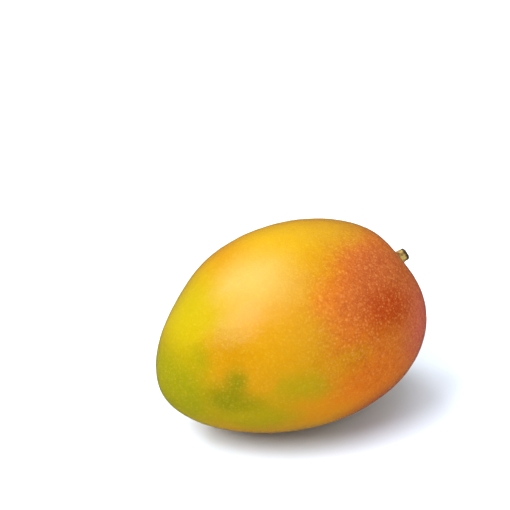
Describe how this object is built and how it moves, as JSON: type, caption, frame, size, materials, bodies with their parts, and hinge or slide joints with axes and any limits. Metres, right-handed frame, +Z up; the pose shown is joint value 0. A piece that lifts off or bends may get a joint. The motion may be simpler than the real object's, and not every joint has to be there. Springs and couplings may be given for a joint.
{
  "type": "mango",
  "caption": "Whole ripening mango lying on its flatter cheek, broad at the stalk end and narrower at the tip, with a short cut stalk stub in a shallow hollow.",
  "frame": {"origin": "On the surface the fruit lies on, under the middle of the whole object's box.", "axes": "+X along the fruit's long axis towards the stalk end, +Y across its width, +Z up, away from the surface it lies on"},
  "size_m": [0.1136, 0.0894, 0.0797],
  "materials": {
    "mango_skin": "smooth waxy skin, yellow green at the tip, gold along the body, orange to red on the stalk shoulder, with fine pale pores",
    "stalk_bark": "dry fibrous stalk, olive yellow sides and a dark brown cut end"
  },
  "bodies": {
    "root": {"fruit": "mango_skin", "stem": "stalk_bark"}
  },
  "joints": []
}
